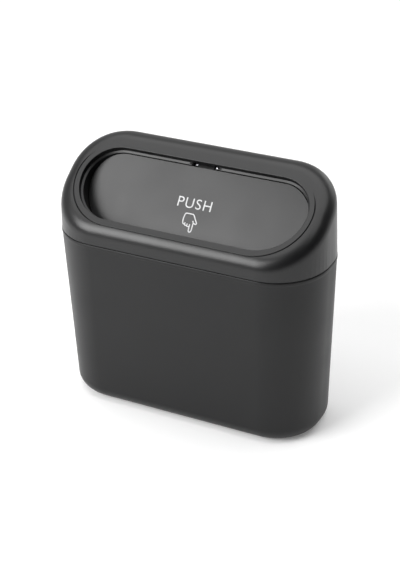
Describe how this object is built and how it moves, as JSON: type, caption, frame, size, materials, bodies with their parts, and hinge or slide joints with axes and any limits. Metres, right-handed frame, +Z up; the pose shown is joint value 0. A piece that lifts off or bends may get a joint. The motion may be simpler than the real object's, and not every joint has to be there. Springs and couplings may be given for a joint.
{
  "type": "car trash bin",
  "caption": "Small black car trash bin: tapered bucket with a rear clip, and a lift-off sloping lid with a deep-set, sprung push flap in its oval mouth.",
  "frame": {"origin": "middle of the flat foot, on the surface that the bin stands on", "axes": "+X across the width, to the right as seen from the front; +Y to the back, where the clip is; +Z up"},
  "size_m": [0.1596, 0.0738, 0.1489],
  "materials": {
    "bin_plastic": "satin black, fine even grain",
    "lid_plastic": "satin black, a little smoother than the bin",
    "frame_plastic": "satin black",
    "flap_plastic": "satin black",
    "pin_steel": "plain drawn steel rod",
    "spring_steel": "bright spring wire"
  },
  "bodies": {
    "bin": {"bin_body": "bin_plastic"},
    "lid": {"lid_cover": "lid_plastic", "mouth_frame": "frame_plastic", "hinge_pin": "pin_steel", "spring_left": "spring_steel", "spring_right": "spring_steel"},
    "flap": {"push_flap": "flap_plastic"}
  },
  "joints": [
    {"name": "lid_lift", "type": "slide", "parent": "bin", "child": "lid", "axis": [0, 0, 1], "range_m": [0, 0.06]},
    {"name": "flap_hinge", "type": "hinge", "parent": "lid", "child": "flap", "pos_m": [0, 0.01618, 0.13924], "axis": [1, 0, 0], "range_deg": [0, 50], "stiffness_Nm_per_rad": 0.012, "springref_deg": -28.65, "deforming": ["spring_left", "spring_right"]}
  ]
}
